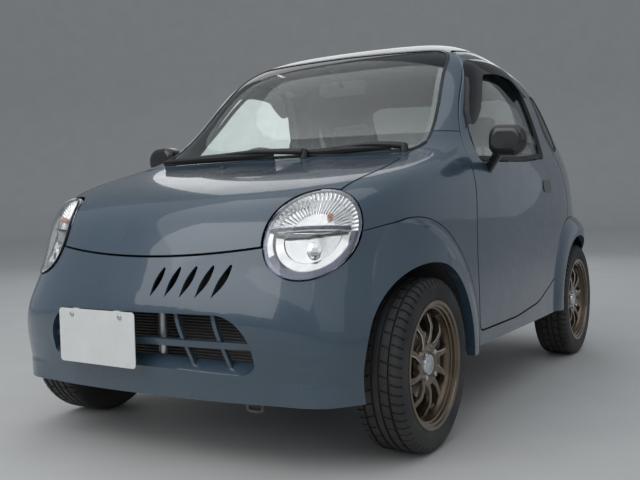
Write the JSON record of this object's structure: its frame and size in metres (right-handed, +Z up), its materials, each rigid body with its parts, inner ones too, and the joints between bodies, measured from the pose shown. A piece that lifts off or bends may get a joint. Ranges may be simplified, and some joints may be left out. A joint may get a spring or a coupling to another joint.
{
  "type": "kei car",
  "caption": "Small kei hatchback car with a rounded body, leaf-slotted bumper, opening doors, bonnet and rear glass, and steered front wheels.",
  "frame": {"origin": "on the ground under the middle of the car", "axes": "+X to the car's left, +Y to its rear, +Z up"},
  "size_m": [1.7062, 2.7576, 1.4519],
  "materials": {
    "paint": "gloss",
    "underbody": "satin",
    "plate": "gloss",
    "lamp_chrome": "polished",
    "clear_glass": "gloss",
    "smoked_glass": "gloss",
    "red_lens": "gloss",
    "engine": "rough cast",
    "radiator": "satin",
    "steel": "satin",
    "iron": "rough",
    "black_plastic": "matte",
    "cabin_plastic": "matte",
    "seat_fabric": "matte",
    "tyre": "matte",
    "bronze": "satin"
  },
  "bodies": {
    "body": {"cab_shell": "paint", "wheel_housings": "underbody", "floor_pan": "underbody", "front_frame": "underbody", "front_bumper": "paint", "grille": "paint", "number_plate": "plate", "front_fenders": "paint", "rear_bumper": "paint", "headlamp_bodies": "lamp_chrome", "headlamp_lenses": "clear_glass", "tail_lamps": "red_lens", "windscreen": "clear_glass", "quarter_windows": "smoked_glass", "engine_block": "engine", "radiator": "radiator", "exhaust": "steel", "fuel_tank": "black_plastic", "front_subframe": "underbody", "rear_axle": "underbody", "dashboard": "cabin_plastic", "front_seats": "seat_fabric", "rear_bench": "seat_fabric", "interior_mirror": "black_plastic", "wipers": "black_plastic"},
    "bonnet": {"bonnet": "paint"},
    "hatch_glass": {"hatch_glass": "smoked_glass"},
    "steering_wheel": {"steering_wheel": "cabin_plastic"},
    "door_left": {"door_shell_left": "paint", "door_glass_left": "clear_glass", "door_mirror_left": "black_plastic", "door_handle_left": "black_plastic"},
    "knuckle_left": {"knuckle_left": "underbody"},
    "wheel_front_left": {"tyre_front_left": "tyre", "rim_front_left": "bronze", "disc_front_left": "steel"},
    "wheel_rear_left": {"tyre_rear_left": "tyre", "rim_rear_left": "bronze", "drum_rear_left": "iron"},
    "door_right": {"door_shell_right": "paint", "door_glass_right": "clear_glass", "door_mirror_right": "black_plastic", "door_handle_right": "black_plastic"},
    "knuckle_right": {"knuckle_right": "underbody"},
    "wheel_front_right": {"tyre_front_right": "tyre", "rim_front_right": "bronze", "disc_front_right": "steel"},
    "wheel_rear_right": {"tyre_rear_right": "tyre", "rim_rear_right": "bronze", "drum_rear_right": "iron"}
  },
  "joints": [
    {"name": "door_left_hinge", "type": "hinge", "parent": "body", "child": "door_left", "pos_m": [0.72, -0.4, 0.6], "axis": [0, 0, -1], "range_deg": [0, 65]},
    {"name": "door_right_hinge", "type": "hinge", "parent": "body", "child": "door_right", "pos_m": [-0.72, -0.4, 0.6], "axis": [0, 0, 1], "range_deg": [0, 65]},
    {"name": "bonnet_hinge", "type": "hinge", "parent": "body", "child": "bonnet", "pos_m": [0, -0.662, 0.922], "axis": [-1, 0, 0], "range_deg": [0, 50]},
    {"name": "hatch_hinge", "type": "hinge", "parent": "body", "child": "hatch_glass", "pos_m": [0, 0.9, 1.35], "axis": [1, 0, 0], "range_deg": [0, 75]},
    {"name": "steering", "type": "hinge", "parent": "body", "child": "steering_wheel", "pos_m": [-0.32, -0.15, 0.82], "axis": [0, 0.891, 0.454], "range_deg": [-512, 512]},
    {"name": "steer_left", "type": "hinge", "parent": "body", "child": "knuckle_left", "pos_m": [0.6, -0.855, 0.185], "axis": [-0.1906, 0, 0.9817], "range_deg": [-32, 32]},
    {"name": "wheel_front_left_spin", "type": "hinge", "parent": "knuckle_left", "child": "wheel_front_left", "pos_m": [0.653, -0.855, 0.263], "axis": [1, 0, 0], "continuous": true},
    {"name": "wheel_rear_left_spin", "type": "hinge", "parent": "body", "child": "wheel_rear_left", "pos_m": [0.643, 0.945, 0.263], "axis": [1, 0, 0], "continuous": true},
    {"name": "steer_right", "type": "hinge", "parent": "body", "child": "knuckle_right", "pos_m": [-0.6, -0.855, 0.185], "axis": [0.1906, 0, 0.9817], "range_deg": [-32, 32]},
    {"name": "wheel_front_right_spin", "type": "hinge", "parent": "knuckle_right", "child": "wheel_front_right", "pos_m": [-0.653, -0.855, 0.263], "axis": [1, 0, 0], "continuous": true},
    {"name": "wheel_rear_right_spin", "type": "hinge", "parent": "body", "child": "wheel_rear_right", "pos_m": [-0.643, 0.945, 0.263], "axis": [1, 0, 0], "continuous": true}
  ],
  "couplings": [
    {"joint": "steer_left", "follows": "steering", "ratio": 0.0625},
    {"joint": "steer_right", "follows": "steering", "ratio": 0.0625}
  ]
}
